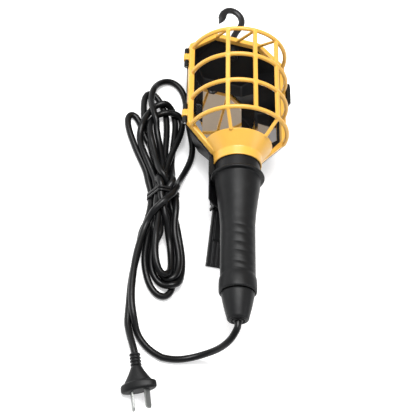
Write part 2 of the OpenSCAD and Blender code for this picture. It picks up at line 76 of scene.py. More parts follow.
def make_camera():
    data = bpy.data.cameras.new("camera")
    data.sensor_width = SENSOR
    data.lens = LENS
    data.dof.use_dof = False
    cam = link_object("camera", data)
    right = Vector(CAMERA_RIGHT).normalized()
    up = Vector(CAMERA_UP)
    up = (up - right * up.dot(right)).normalized()
    back = right.cross(up)
    where = at(*CAMERA_POINT)
    cam.matrix_world = Matrix((
        (right.x, up.x, back.x, where.x),
        (right.y, up.y, back.y, where.y),
        (right.z, up.z, back.z, where.z),
        (0, 0, 0, 1)))
    bpy.context.scene.camera = cam


make_camera()

# ---------------------------------------------------------------- helpers


def shade_smooth(mesh):
    mesh.polygons.foreach_set("use_smooth", [True] * len(mesh.polygons))


def object_from_bmesh(name, bm, smooth=True):
    bmesh.ops.recalc_face_normals(bm, faces=bm.faces[:])
    mesh = bpy.data.meshes.new(name)
    bm.to_mesh(mesh)
    bm.free()
    if smooth:
        shade_smooth(mesh)
    return link_object(name, mesh)


def apply_modifiers(obj):
    deps = bpy.context.evaluated_depsgraph_get()
    made = bpy.data.meshes.new_from_object(obj.evaluated_get(deps))
    old = obj.data
    obj.modifiers.clear()
    obj.data = made
    bpy.data.meshes.remove(old)


def angles(count):
    return [2 * math.pi * k / count for k in range(count)]


def add_skin(bm, rings, caps=True):
    """Faces from each ring of points to the next and, with caps, across the first and the last."""
    made = [[bm.verts.new(p) for p in ring] for ring in rings]
    for a, b in zip(made, made[1:]):
        for k in range(len(a)):
            after = (k + 1) % len(a)
            bm.faces.new((a[k], a[after], b[after], b[k]))
    if caps:
        bm.faces.new(made[0][::-1])
        bm.faces.new(made[-1])


def skin(name, rings, caps=True):
    bm = bmesh.new()
    add_skin(bm, rings, caps)
    return object_from_bmesh(name, bm)


def blunt(value, power):
    """A sine or cosine pulled towards square corners by a power under 1."""
    return math.copysign(abs(value) ** power, value)


def falloff(value, centre, width):
    return math.exp(-((value - centre) / width) ** 2)


def distances_along(points):
    """How far along a path of points each one is."""
    return np.concatenate([[0], np.cumsum(np.linalg.norm(np.diff(points, axis=0), axis=1))])


def catmull(points, step):
    """Points about step apart on a centripetal curve through the given ones."""
    pts = [np.array(p, float) for p in points]
    pts = [2 * pts[0] - pts[1]] + pts + [2 * pts[-1] - pts[-2]]
    out = []
    for i in range(1, len(pts) - 2):
        p0, p1, p2, p3 = pts[i - 1:i + 3]
        t0 = 0.0
        t1 = t0 + max(np.linalg.norm(p1 - p0), 1e-9) ** 0.5
        t2 = t1 + max(np.linalg.norm(p2 - p1), 1e-9) ** 0.5
        t3 = t2 + max(np.linalg.norm(p3 - p2), 1e-9) ** 0.5
        count = max(1, int(round(np.linalg.norm(p2 - p1) / step)))
        for k in range(count):
            t = t1 + (t2 - t1) * k / count
            a1 = (t1 - t) / (t1 - t0) * p0 + (t - t0) / (t1 - t0) * p1
            a2 = (t2 - t) / (t2 - t1) * p1 + (t - t1) / (t2 - t1) * p2
            a3 = (t3 - t) / (t3 - t2) * p2 + (t - t2) / (t3 - t2) * p3
            b1 = (t2 - t) / (t2 - t0) * a1 + (t - t0) / (t2 - t0) * a2
            b2 = (t3 - t) / (t3 - t1) * a2 + (t - t1) / (t3 - t1) * a3
            out.append((t2 - t) / (t2 - t1) * b1 + (t - t1) / (t2 - t1) * b2)
    out.append(pts[-2])
    return np.array(out)


def lathe(name, profile, segments=96, shape=None, centre_z=0, caps=True):
    """A solid of revolution about a line along the lamp. profile is (radius, station).

    shape(r, station, angle), where given, changes the radius."""
    rings = []
    for r, station in profile:
        ring = []
        for a in angles(segments):
            bent = shape(r, station, a) if shape else r
            ring.append(at(bent * math.sin(a), station, centre_z + bent * math.cos(a)))
        rings.append(ring)
    return skin(name, rings, caps)


def rounded(profile, radius=0.5, steps=3):
    """Rounds the corners of an open (radius, station) profile."""
    pts = [np.array(p, float) for p in profile]
    out = [pts[0]]
    for i in range(1, len(pts) - 1):
        a, b, c = pts[i - 1], pts[i], pts[i + 1]
        la, lc = np.linalg.norm(a - b), np.linalg.norm(c - b)
        cut = min(radius, la * 0.45, lc * 0.45)
        p, q = b + (a - b) / la * cut, b + (c - b) / lc * cut
        for k in range(steps + 1):
            t = k / steps
            out.append((1 - t) ** 2 * p + 2 * t * (1 - t) * b + t * t * q)
    out.append(pts[-1])
    return [tuple(p) for p in out]


def path_frames(points):
    """The points of a path with, at each, its direction and a sideways direction that never twists."""
    pts = [Vector(p) for p in points]
    tangents = []
    for i in range(len(pts)):
        a, b = pts[max(i - 1, 0)], pts[min(i + 1, len(pts) - 1)]
        tangents.append((b - a).normalized())
    side = tangents[0].cross(Vector((0, 0, 1)))
    if side.length < 0.1:
        side = tangents[0].cross(Vector((1, 0, 0)))
    side.normalize()
    sides = [side]
    for i in range(1, len(pts)):
        turn = tangents[i - 1].rotation_difference(tangents[i])
        side = turn @ sides[-1]
        side = (side - tangents[i] * side.dot(tangents[i])).normalized()
        sides.append(side)
    return pts, tangents, sides


def sweep(name, points, section, count=24):
    """section(i, angle) gives (sideways, upward) in metres at point i."""
    pts, tangents, sides = path_frames(points)
    rings = []
    for i, p in enumerate(pts):
        up = sides[i].cross(tangents[i]).normalized()
        ring = []
        for a in angles(count):
            u, v = section(i, a)
            ring.append(p + sides[i] * u + up * v)
        rings.append(ring)
    return skin(name, rings)


# ---------------------------------------------------------------- materials

class Nodes:
    """A small node-tree builder for one material."""

    def __init__(self, name):
        self.material = bpy.data.materials.new(name)
        self.material.use_nodes = True
        self.tree = self.material.node_tree
        self.tree.nodes.clear()
        self.out = self.add("ShaderNodeOutputMaterial")
        self.surface = self.add("ShaderNodeBsdfPrincipled")
        self.link(self.surface.outputs["BSDF"], self.out.inputs["Surface"])
        self.where = self.add("ShaderNodeTexCoord").outputs["Object"]

    def add(self, kind):
        return self.tree.nodes.new(kind)

    def link(self, a, b):
        self.tree.links.new(a, b)

    def feed(self, value, socket):
        """Gives a socket another node's output, a colour or a number."""
        if hasattr(value, "is_output"):
            self.link(value, socket)
        elif isinstance(value, tuple):
            socket.default_value = (*value, 1.0)
        else:
            socket.default_value = value

    def stretched(self, scale):
        m = self.add("ShaderNodeMapping")
        m.inputs["Scale"].default_value = scale
        self.link(self.where, m.inputs["Vector"])
        return m.outputs["Vector"]

    def noise(self, scale, detail=4.0, rough=0.5, vector=None):
        n = self.add("ShaderNodeTexNoise")
        n.inputs["Scale"].default_value = scale
        n.inputs["Detail"].default_value = detail
        n.inputs["Roughness"].default_value = rough
        self.link(vector or self.where, n.inputs["Vector"])
        return n.outputs["Fac"]

    def ramp(self, value, stops):
        r = self.add("ShaderNodeValToRGB")
        while len(r.color_ramp.elements) < len(stops):
            r.color_ramp.elements.new(0.5)
        for e, (pos, colour) in zip(r.color_ramp.elements, stops):
            e.position = pos
            e.color = (*colour, 1.0)
        self.link(value, r.inputs["Fac"])
        return r.outputs["Color"]

    def mask(self, value, low, high, most=1.0):
        """Black below low, rising to a grey of most at high."""
        return self.ramp(value, [(low, (0, 0, 0)), (high, (most, most, most))])

    def span(self, value, low, high):
        m = self.add("ShaderNodeMapRange")
        m.inputs["To Min"].default_value = low
        m.inputs["To Max"].default_value = high
        self.link(value, m.inputs["Value"])
        return m.outputs["Result"]

    def mix(self, factor, a, b):
        m = self.add("ShaderNodeMix")
        m.data_type = "RGBA"
        for value, socket in ((factor, m.inputs[0]), (a, m.inputs[6]), (b, m.inputs[7])):
            self.feed(value, socket)
        return m.outputs[2]

    def maths(self, op, a, b):
        m = self.add("ShaderNodeMath")
        m.operation = op
        for value, socket in ((a, m.inputs[0]), (b, m.inputs[1])):
            self.feed(value, socket)
        return m.outputs[0]

    def colour(self, socket):
        self.link(socket, self.surface.inputs["Base Color"])

    def rough(self, socket):
        self.link(socket, self.surface.inputs["Roughness"])

    def bump(self, heights):
        """heights is a list of (socket, strength, distance in metres)."""
        normal = None
        for socket, strength, distance in heights:
            b = self.add("ShaderNodeBump")
            b.inputs["Strength"].default_value = strength
            b.inputs["Distance"].default_value = distance
            self.link(socket, b.inputs["Height"])
            if normal:
                self.link(normal, b.inputs["Normal"])
            normal = b.outputs["Normal"]
        self.link(normal, self.surface.inputs["Normal"])

    def set(self, **values):
        for key, value in values.items():
            self.surface.inputs[key.replace("_", " ")].default_value = value
        return self


def shaded(tint, share):
    return tuple(c * share for c in tint)


def edge_wear(n):
    """Bright on outside edges, broken up by noise."""
    g = n.add("ShaderNodeNewGeometry")
    edge = n.mask(g.outputs["Pointiness"], 0.52, 0.62)
    broken = n.mask(n.noise(220, 3), 0.45, 0.65)
    return n.maths("MULTIPLY", edge, broken)


def yellow_plastic():
    n = Nodes("amber_moulded_plastic")
    cloud = n.noise(22, 3)
    flow = n.noise(60, 4, 0.6, n.stretched((1, 0.25, 1)))
    base = n.ramp(cloud, [(0.3, (0.700, 0.385, 0.058)), (0.7, (0.740, 0.415, 0.070))])
    streaked = n.mix(n.mask(flow, 0.45, 0.75, 0.35), base, (0.67, 0.35, 0.045))
    n.colour(n.mix(n.maths("MULTIPLY", edge_wear(n), 0.4), streaked, (0.82, 0.51, 0.16)))
    n.rough(n.span(n.noise(140, 4), 0.26, 0.40))
    n.bump([(n.noise(420, 3), 0.06, 0.0004), (n.noise(2600, 2), 0.05, 0.0001)])
    n.set(IOR=1.50, Specular_IOR_Level=0.5, Subsurface_Weight=0.10, Subsurface_Scale=0.002,
          Subsurface_Radius=(1.0, 0.45, 0.12))
    return n.material


def black_plastic(name="black_moulded_plastic", tint=(0.0046, 0.0047, 0.0050), rough=(0.34, 0.5), grain=1.0):
    n = Nodes(name)
    cloud = n.noise(30, 4)
    base = n.ramp(cloud, [(0.3, tint), (0.75, shaded(tint, 1.7))])
    dust = n.mask(n.noise(600, 2, 0.7), 0.62, 0.8, 0.22)
    n.colour(n.mix(dust, base, (0.03, 0.03, 0.032)))
    n.rough(n.span(n.noise(90, 5), *rough))
    n.bump([(n.noise(1500, 3), 0.12 * grain, 0.0002), (n.noise(170, 3), 0.08 * grain, 0.0006)])
    n.set(IOR=1.5, Specular_IOR_Level=0.22)
    return n.material


def grip_rubber():
    n = Nodes("grip_rubber")
    cloud = n.noise(38, 5, 0.6)
    base = n.ramp(cloud, [(0.3, (0.0046, 0.0049, 0.0053)), (0.75, (0.0085, 0.0088, 0.0094))])
    scuff = n.mask(n.noise(150, 5, 0.65, n.stretched((1, 0.35, 1))), 0.58, 0.78, 0.3)
    n.colour(n.mix(scuff, base, (0.022, 0.0225, 0.024)))
    n.rough(n.span(n.noise(120, 4), 0.38, 0.54))
    n.bump([(n.noise(1100, 4), 0.16, 0.0002), (n.noise(90, 4), 0.16, 0.0010)])
    n.set(IOR=1.5, Specular_IOR_Level=0.21)
    return n.material


def cord_rubber():
    n = Nodes("cord_jacket")
    base = n.ramp(n.noise(60, 4), [(0.3, (0.0026, 0.0028, 0.0031)), (0.75, (0.0048, 0.0050, 0.0055))])
    chalk = n.mask(n.noise(260, 4, 0.6), 0.6, 0.85, 0.25)
    n.colour(n.mix(chalk, base, (0.020, 0.020, 0.022)))
    n.rough(n.span(n.noise(200, 4), 0.24, 0.38))
    n.bump([(n.noise(900, 3), 0.10, 0.0002), (n.noise(140, 2), 0.10, 0.0008)])
    n.set(IOR=1.5, Specular_IOR_Level=0.24)
    return n.material


def steel(name="zinc_plated_steel", tint=(0.62, 0.63, 0.64), rough=(0.22, 0.38)):
    n = Nodes(name)
    brushed = n.noise(900, 3, 0.6, n.stretched((1, 0.08, 1)))
    base = n.ramp(n.noise(80, 4), [(0.3, shaded(tint, 0.86)), (0.7, tint)])
    n.colour(n.mix(n.mask(brushed, 0.5, 0.8, 0.3), base, shaded(tint, 0.7)))
    n.rough(n.span(brushed, *rough))
    n.bump([(brushed, 0.08, 0.0001)])
    n.set(Metallic=1.0)
    return n.material


def brass():
    n = Nodes("pressed_brass")
    tarnish = n.noise(160, 5, 0.6)
    dull, bright, spotted = (0.72, 0.50, 0.20), (0.80, 0.58, 0.25), (0.42, 0.27, 0.11)
    n.colour(n.ramp(tarnish, [(0.3, dull), (0.62, bright), (0.8, spotted)]))
    n.rough(n.span(tarnish, 0.22, 0.42))
    n.bump([(n.noise(700, 3), 0.08, 0.0002)])
    n.set(Metallic=1.0)
    return n.material


def mirror_sheet():
    n = Nodes("bright_reflector_sheet")
    haze = n.noise(45, 4)
    n.colour(n.ramp(haze, [(0.3, (0.80, 0.81, 0.83)), (0.7, (0.90, 0.905, 0.92))]))
    fine = n.noise(900, 2, 0.5, n.stretched((1, 0.05, 1)))
    n.rough(n.span(n.noise(160, 4), 0.015, 0.05))
    n.bump([(fine, 0.012, 0.0001), (n.noise(18, 2), 0.03, 0.0015)])
    n.set(Metallic=1.0)
    return n.material


def coloured_insulation(name, tint):
    n = Nodes(name)
    n.colour(n.ramp(n.noise(90, 3), [(0.3, shaded(tint, 0.8)), (0.7, tint)]))
    n.rough(n.span(n.noise(200, 3), 0.35, 0.5))
    n.bump([(n.noise(700, 3), 0.08, 0.0002)])
    return n.material


def hook_paint():
    n = Nodes("dipped_black_coating")
    base = n.ramp(n.noise(80, 4), [(0.3, (0.0065, 0.0068, 0.0076)), (0.75, (0.0120, 0.0123, 0.0132))])
    n.colour(n.mix(n.maths("MULTIPLY", edge_wear(n), 0.5), base, (0.06, 0.06, 0.064)))
    n.rough(n.span(n.noise(240, 4), 0.30, 0.46))
    n.bump([(n.noise(800, 3), 0.10, 0.0002)])
    n.set(Specular_IOR_Level=0.35)
    return n.material


YELLOW = yellow_plastic()
BLACK = black_plastic()
DARK_CORE = black_plastic("phenolic_moulding", (0.020, 0.018, 0.017), (0.25, 0.4), 0.6)
PLUG = black_plastic("plug_moulding", (0.0042, 0.0044, 0.0048), (0.36, 0.5), 1.0)
TIE = black_plastic("twist_tie_film", (0.0035, 0.0036, 0.0040), (0.24, 0.36), 0.5)
RUBBER = grip_rubber()
JACKET = cord_rubber()
STEEL = steel()
DARK_STEEL = steel("blackened_steel", (0.045, 0.045, 0.048), (0.34, 0.5))
BLADES = steel("nickel_plated_brass", (0.30, 0.31, 0.30), (0.34, 0.48))
BRASS = brass()
MIRROR = mirror_sheet()
HOOK = hook_paint()
LIVE = coloured_insulation("brown_insulation", (0.20, 0.09, 0.035))
NEUTRAL = coloured_insulation("blue_insulation", (0.03, 0.12, 0.42))


def dress(obj, material):
    obj.data.materials.clear()
    obj.data.materials.append(material)
    return obj


def dress_node(node, material):
    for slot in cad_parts[node].material_slots:
        slot.material = material


# ---------------------------------------------------------------- mains lead

# The lead's route, in the order it runs. Off the floor its points are (across, along, above the axis), and
# where it lies they are (across, along). Head loops lie on the hook's side of the tie, and tail loops on
# the plug's
LYING_Z = round(FLOOR_Z + CORD_D / MM / 2, 2)
EXIT = [(0, 0, 0), (0, -4.5, 0), (-1.5, -9.5, -3), (-3.5, -14, -9), (-6.5, -17, -16),
        (-10, -18.5, -24), (-15, -19.5, -32), (-22, -21, -38.5), (-30, -23, -42.6), (-39, -25, -44.4),
        (-48, -26, LYING_Z), (-57, -25.5, LYING_Z)]
TO_TIE = [(-65, -23.5), (-72, -18.5), (-78, -11.5), (-82.8, -3.5), (-86, 8), (-87.8, 26), (-88, 42),
          (-87, 57), (-85, 75), (-81.5, 92), (-78, 106), (-73.5, 120)]
HEAD_LOOP_1 = [(-41.5, 172), (-35.6, 185), (-31.8, 197), (-31.5, 209), (-34, 221), (-36.6, 232),
               (-38.6, 244), (-40, 256), (-40.8, 267), (-44, 277), (-50.5, 285), (-59, 287.7),
               (-66.5, 285), (-73, 279), (-77.4, 271), (-79, 262), (-78.6, 254), (-77, 245),
               (-74, 233), (-71, 221), (-68, 209), (-65, 195), (-63, 180), (-62, 165)]
TAIL_LOOP_1 = [(-54.5, 103), (-51.4, 86), (-49.4, 70), (-50.6, 57.5), (-55, 53), (-60.3, 56),
               (-64.6, 65), (-67, 79), (-66.8, 95), (-65, 110)]
HEAD_LOOP_2 = [(-59.5, 165), (-57.5, 178), (-55, 191), (-51, 204), (-47, 217), (-43, 229),
               (-41.8, 238), (-44, 243.5), (-50.5, 246.5), (-58.5, 246), (-67, 243), (-74, 238),
               (-78.5, 229), (-78.5, 217), (-74, 201), (-69, 183), (-64, 164)]
TAIL_LOOP_2 = [(-49, 106), (-45, 91), (-42.4, 75), (-43.4, 61), (-47.3, 52), (-54, 49), (-61, 53.5),
               (-66, 63), (-68.3, 77), (-68, 94), (-66, 109)]
HEAD_LOOP_3 = [(-57, 167), (-55, 182), (-53, 198), (-51, 213), (-50.5, 227), (-51, 240), (-53.6, 250),
               (-58, 256), (-64, 257), (-70.5, 254.5), (-76, 249), (-81, 239), (-86, 226),
               (-88.5, 213), (-88.5, 201), (-84.5, 190), (-77, 177), (-70, 162)]
TAIL_LOOP_3 = [(-45, 101), (-41, 87), (-39, 73), (-39.5, 60), (-42.5, 49.5), (-49, 44.5), (-57, 45),
               (-64.5, 51), (-69.5, 62), (-71.5, 76), (-70.8, 93), (-69, 109)]
HEAD_LOOP_4 = [(-61, 166), (-61, 180), (-61, 196), (-60, 211), (-60, 226), (-61, 239), (-64, 249),
               (-68, 257), (-72.5, 263), (-76.5, 267.5), (-80.5, 268.5), (-84.5, 265), (-86.2, 257),
               (-86, 246), (-83.5, 232), (-81, 218), (-77, 201), (-71.5, 183), (-67, 166)]
TAIL_LOOP_4 = [(-50, 103), (-47, 88), (-46.5, 73), (-47.5, 58), (-48.5, 45), (-51.5, 34.5), (-58, 31),
               (-65.5, 35), (-71.5, 43.5), (-75.5, 57), (-76.5, 71), (-75, 88), (-72, 104)]
HEAD_LOOP_5 = [(-71, 173), (-74, 189), (-78, 204), (-83.5, 216), (-89, 227), (-93.5, 235),
               (-98.5, 237.5), (-102.5, 234), (-103, 226), (-100.5, 215), (-95, 201), (-88.5, 188),
               (-81, 173), (-75, 160)]
TO_PLUG = [(-74, 122), (-76.5, 107), (-80.5, 91), (-84.5, 74), (-87.4, 58), (-89.2, 42), (-89.4, 26),
           (-89.2, 12), (-88.8, 1)]
PLUG_END = [(-88, -9, -42.4), (-86, -20, -38.3), (-84, -29.5, -36.5), (-82.5, -38.5, -36.5)]
STRANDS = [TO_TIE, HEAD_LOOP_1, TAIL_LOOP_1, HEAD_LOOP_2, TAIL_LOOP_2, HEAD_LOOP_3, TAIL_LOOP_3,
           HEAD_LOOP_4, TAIL_LOOP_4, HEAD_LOOP_5, TO_PLUG]
TIE_STATION = 140
# Where the lead crosses the tie after each strand: (across, layer)
TIE_SLOTS = [(-57.5, 3), (-65.4, 2), (-68.7, 1), (-52.2, 0), (-58.8, 2), (-55.5, 1), (-62.1, 1),
             (-58.8, 0), (-65.4, 0), (-72, 0)]
LAYER = 5.7
# How far the line of sight leans, across and along, for each millimetre of height at the tie
SIGHT_AT_TIE = (-0.30, -0.62)
# How firmly a point of the route is held: not at all, at the tie, and where it is fixed
LOOSE, TIED, FIXED = 0, 0.5, 1
CORD_STEP = 2.6
# Strands settle a hair further apart than the lead is thick
SPACING = CORD_D / MM * 1.01
# Points nearer along the lead than this many spacings belong to one strand and don't push each other
SAME_STRAND = 2.6
# The pile is laid a few times over, because a raised strand is also drawn aside along the line of sight
PILE_PASSES = 3
STEEPEST_CLIMB = 0.32
CLIMB_PASSES = 12
HIGHEST_PILE = 22
HEIGHT_SOFTENINGS = 14
# Each round of settling moves a point at most this far, then draws it to where it is seen and lets it sink
FARTHEST_PUSH = 1.2
PULL_TO_SIGHT = 0.08
SINK = 0.07
SMOOTHING = 0.8
ROUNDS = 300
# The last rounds only push strands apart and smooth them a little
LAST_ROUNDS = 25
LAST_SMOOTHING = 0.3


def cord_route():
    """Points (across, along, above the axis), each with its strand's rank in the pile and its hold."""
    top = len(STRANDS)
    pts = [(*p, top, FIXED) for p in EXIT]
    for i, strand in enumerate(STRANDS):
        rank = top - i
        pts += [(x, station, LYING_Z, rank, LOOSE) for x, station in strand]
        if i < len(TIE_SLOTS):
            x, layer = TIE_SLOTS[i]
            up = layer * LAYER
            seen = (x + SIGHT_AT_TIE[0] * up, TIE_STATION + SIGHT_AT_TIE[1] * up)
            pts.append((*seen, LYING_Z + up, rank, TIED))
    pts += [(*p, 0, FIXED) for p in PLUG_END]
    return pts


def even_route():
    """The route as evenly spaced points, each with its rank and its hold."""
    route = cord_route()
    ctrl = np.array([p[:3] for p in route], float)
    fine = catmull(ctrl, CORD_STEP)
    marks = np.array([np.argmin(np.linalg.norm(fine - c, axis=1)) for c in ctrl])
    order = np.maximum.accumulate(marks)
    idx = np.arange(len(fine))
    ranks = np.array([p[3] for p in route], float)
    rank = ranks[np.clip(np.searchsorted(order, idx, side="right") - 1, 0, len(ranks) - 1)]
    hold = np.interp(idx, order, [p[4] for p in route])
    run = distances_along(fine)
    even = np.append(np.arange(0, run[-1], CORD_STEP), run[-1])
    base = np.array([np.interp(even, run, fine[:, k]) for k in range(3)]).T
    rank = rank[np.clip(np.searchsorted(run, even), 0, len(rank) - 1)]
    hold = np.clip(np.interp(even, run, hold), LOOSE, FIXED)
    return base, rank, hold


def drop_heights(p, rank, gap):
    """Lets each strand down in turn onto the ones before it; gives a height per point."""
    n = len(p)
    z = np.full(n, LYING_Z)
    a, b = np.triu_indices(n, gap)
    flat = np.hypot(p[a, 0] - p[b, 0], p[a, 1] - p[b, 1])
    near = flat < SPACING
    a, b, flat = a[near], b[near], flat[near]
    rise = np.sqrt(SPACING * SPACING - flat * flat)
    climb = STEEPEST_CLIMB * CORD_STEP
    for level in np.unique(rank):
        mine = rank == level
        low = np.where(mine[a] & (rank[b] < level))[0]
        high = np.where(mine[b] & (rank[a] < level))[0]
        np.maximum.at(z, a[low], z[b[low]] + rise[low])
        np.maximum.at(z, b[high], z[a[high]] + rise[high])
        for _ in range(CLIMB_PASSES):
            z[1:] = np.where(mine[1:], np.maximum(z[1:], z[:-1] - climb), z[1:])
            z[:-1] = np.where(mine[:-1], np.maximum(z[:-1], z[1:] - climb), z[:-1])
    return z


def softened(values):
    """The same values with each inner one averaged with its neighbours."""
    out = values.copy()
    out[1:-1] = 0.5 * values[1:-1] + 0.25 * (values[:-2] + values[2:])
    return out


def push_apart(p, gap):
    """How far each point moves so that strands stop overlapping."""
    a, b = np.triu_indices(len(p), gap)
    near = (np.abs(p[a, 0] - p[b, 0]) < SPACING) & (np.abs(p[a, 1] - p[b, 1]) < SPACING)
    a, b = a[near], b[near]
    v = p[b] - p[a]
    dist = np.linalg.norm(v, axis=1)
    hit = dist < SPACING
    a, b, v, dist = a[hit], b[hit], v[hit], dist[hit]
    push = v / np.maximum(dist, 1e-6)[:, None] * ((SPACING - dist) * 0.5)[:, None]
    move = np.zeros_like(p)
    np.add.at(move, b, push)
    np.add.at(move, a, -push)
    size = np.linalg.norm(move, axis=1)
    return move * np.minimum(1, FARTHEST_PUSH / np.maximum(size, 1e-6))[:, None]


def settle_cord():
    """Lays the lead's strands on and beside each other without any passing through another."""
    base, rank, hold = even_route()
    eye = np.array(CAMERA_POINT)
    lean = (eye[:2] - base[:, :2]) / (eye[2] - LYING_Z)
    # fixed points stay put, and tied ones are pushed but neither lifted by the pile nor let down
    free = (hold < 0.9 * FIXED)[:, None].astype(float)
    loose = np.clip(1 - hold / (0.8 * TIED), 0, 1)
    gap = int(round(SAME_STRAND * SPACING / CORD_STEP))
    p = base.copy()
    for _ in range(PILE_PASSES):
        z = np.minimum(drop_heights(p, rank, gap), LYING_Z + HIGHEST_PILE)
        for _ in range(HEIGHT_SOFTENINGS):
            z = softened(z)
        p[:, 2] = base[:, 2] + (z - base[:, 2]) * loose
        p[:, :2] = base[:, :2] + lean * ((p[:, 2] - LYING_Z) * loose)[:, None]
    for turn in range(ROUNDS):
        p += push_apart(p, gap) * free
        last = turn > ROUNDS - LAST_ROUNDS
        if not last:
            # the line of sight keeps each strand where it is seen, and its weight brings it down
            height = np.maximum(p[:, 2] - LYING_Z, 0)
            seen = base[:, :2] + lean * (height * loose)[:, None]
            p[:, :2] += (seen - p[:, :2]) * PULL_TO_SIGHT * free
            p[:, 2] -= SINK * free[:, 0] * loose
        smooth = softened(p) if last else softened(softened(p))
        p = np.where(free > 0, p + (smooth - p) * (LAST_SMOOTHING if last else SMOOTHING), p)
        p[:, 2] = np.maximum(p[:, 2], LYING_Z)
    return p


def make_cord():
    line = settle_cord()
    curve = bpy.data.curves.new("mains_lead", "CURVE")
    curve.dimensions = "3D"
    curve.bevel_depth = CORD_D / 2
    curve.bevel_resolution = 5
    curve.use_fill_caps = True
    spline = curve.splines.new("POLY")
    spline.points.add(len(line) - 1)
    for point, (x, station, z) in zip(spline.points, line):
        point.co = (*at(x, station, z), 1.0)
    spline.use_smooth = True
    cord = link_object("mains_lead", curve)
    cord.data.materials.append(JACKET)
    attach(cord, "lamp")
    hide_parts("cord_exit", "cord_hank", "cord_lead")
    return cord, line


CORD, CORD_LINE = make_cord()

# ---------------------------------------------------------------- tie round the lead

# The film's section: (along, thickness) in millimetres; and its two winds: (phase, shift along)
TIE_FILM = [(-1.5, 0.15), (-1.1, 0.75), (0, 0.95), (1.1, 0.75), (1.5, 0.15), (0, 0.0)]
TIE_WINDS = [(0, -1.7), (1, 1.5)]
TIE_SLANT = 0.7
TIE_CLEARANCE = 0.4
TIE_ABOVE_FLOOR = 0.1
TIE_POINTS = 72
# Points of the lead this near the tie's station are in it, and this many on are past one crossing
NEAR_TIE = 2.0
ONE_CROSSING = 12


def half_hull(points):
    """One side of the convex outline of sorted points."""
    out = []
    for p in points:
        while len(out) > 1 and ((out[-1][0] - out[-2][0]) * (p[1] - out[-2][1])
                                - (out[-1][1] - out[-2][1]) * (p[0] - out[-2][0])) <= 0:
            out.pop()
        out.append(p)
    return out[:-1]


def tie_outline():
    """Evenly spaced points (across, above the axis) round the strands that the tie holds."""
    crossings = np.where(np.abs(CORD_LINE[:, 1] - TIE_STATION) < NEAR_TIE)[0]
    # the first crossing is the strand from the boot, which passes over the tie
    held = CORD_LINE[crossings[crossings > crossings[0] + ONE_CROSSING]]
    reach = CORD_D / MM / 2 + TIE_CLEARANCE
    around = [(x + reach * math.cos(a), z + reach * math.sin(a)) for x, _, z in held for a in angles(16)]
    pts = sorted(set((round(x, 3), round(z, 3)) for x, z in around))
    hull = half_hull(pts) + half_hull(pts[::-1])
    hull = np.array(hull + [hull[0]])
    run = distances_along(hull)
    return [np.array([np.interp(s, run, hull[:, k]) for k in range(2)])
            for s in np.linspace(0, run[-1], TIE_POINTS, endpoint=False)]


def make_tie():
    """A flat film tie wound twice round the bundle, under the strand that comes from the boot."""
    outline = tie_outline()
    centre = np.mean(outline, axis=0)
    bm = bmesh.new()
    for phase, shift in TIE_WINDS:
        rings = []
        for a, q in zip(angles(TIE_POINTS) + [2 * math.pi], outline + outline[:1]):
            away = (q - centre) / np.linalg.norm(q - centre)
            station = TIE_STATION + (shift + TIE_SLANT * math.sin(a + phase))
            ring = []
            for along, thick in TIE_FILM:
                x, z = q + away * thick
                ring.append(at(x, station + along, max(z, FLOOR_Z + TIE_ABOVE_FLOOR)))
            rings.append(ring)
        add_skin(bm, rings, caps=False)
    bmesh.ops.remove_doubles(bm, verts=bm.verts[:], dist=1e-6)
    tie = object_from_bmesh("twist_tie", bm)
    dress(tie, TIE)
    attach(tie, "lamp")
    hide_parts("cord_tie")
    return tie


TIE_PIECE = make_tie()

# ---------------------------------------------------------------- plug

# The plug's place in the lamp's millimetres, its heading on the floor and its roll about its own length
PLUG_AT = (-84.0, -29.5, -36.5)
PLUG_TURN = math.radians(9.5)
PLUG_ROLL = math.radians(34)
# Sections along the plug: (along, half width, half height, squareness), from the relief to the face
PLUG_BODY = [
    (11.6, 3.9, 3.9, 2), (12.2, 4.5, 4.5, 2), (13.4, 5.2, 4.8, 2.1), (16.5, 6.6, 5.4, 2.2),
    (20, 8.6, 6.0, 2.2), (23.5, 10.8, 6.6, 2.2), (25.6, 12.2, 6.9, 2.2), (26.6, 12.9, 7.1, 2.1),
    (27.0, 13.7, 7.3, 2.1)]
PLUG_FLANGE = [
    (27.3, 15.2, 7.6, 2), (27.9, 16.0, 7.8, 2), (29.0, 16.4, 7.9, 2), (32.0, 16.45, 7.9, 2),
    (33.4, 16.2, 7.8, 2), (34.3, 15.3, 7.4, 2), (34.75, 13.8, 6.8, 2), (34.9, 11, 5.5, 2), (34.95, 3, 2, 2)]
# The relief's two ends, as sections, and its ribs
RELIEF_ROOT = [(-0.4, 3.3, 3.3, 2), (0.0, 3.8, 3.8, 2)]
RELIEF_TIP = [(12.6, 3.8, 3.8, 2)]
RELIEF_RIBS = 4
RELIEF_START = 0.5
RELIEF_PITCH = 3.1
# One rib of the relief, as a section is above, but along from the rib's own start
RELIEF_RIB = [(-0.25, 3.75, 3.75, 2), (0, 4.5, 4.4, 2.4), (0.35, 4.8, 4.7, 2.6), (1.25, 4.8, 4.7, 2.6),
              (1.6, 4.5, 4.4, 2.4), (1.9, 3.75, 3.75, 2)]
# A blade's outline: (across its width, along), and its other sizes
BLADE_OUTLINE = [(-3.1, 0), (3.1, 0), (3.1, 14.6), (2.3, 16.4), (1.2, 17.0), (-1.2, 17.0), (-2.3, 16.4),
                 (-3.1, 14.6)]
BLADE_HALF_THICK = 0.78
BLADE_HALF_PITCH = 6.85
BLADE_ROOT = 34.6
BLADE_LEAN = math.radians(60)
BLADE_EDGE = 0.35


def plug_point(across, along, up):
    """A point of the plug, where along runs from its relief to its blades. It lies rolled on its side."""
    c, s = math.cos(PLUG_TURN), math.sin(PLUG_TURN)
    rc, rs = math.cos(PLUG_ROLL), math.sin(PLUG_ROLL)
    across, up = across * rc - up * rs, across * rs + up * rc
    return at(PLUG_AT[0] + c * across + s * along, PLUG_AT[1] + s * across - c * along, PLUG_AT[2] + up)


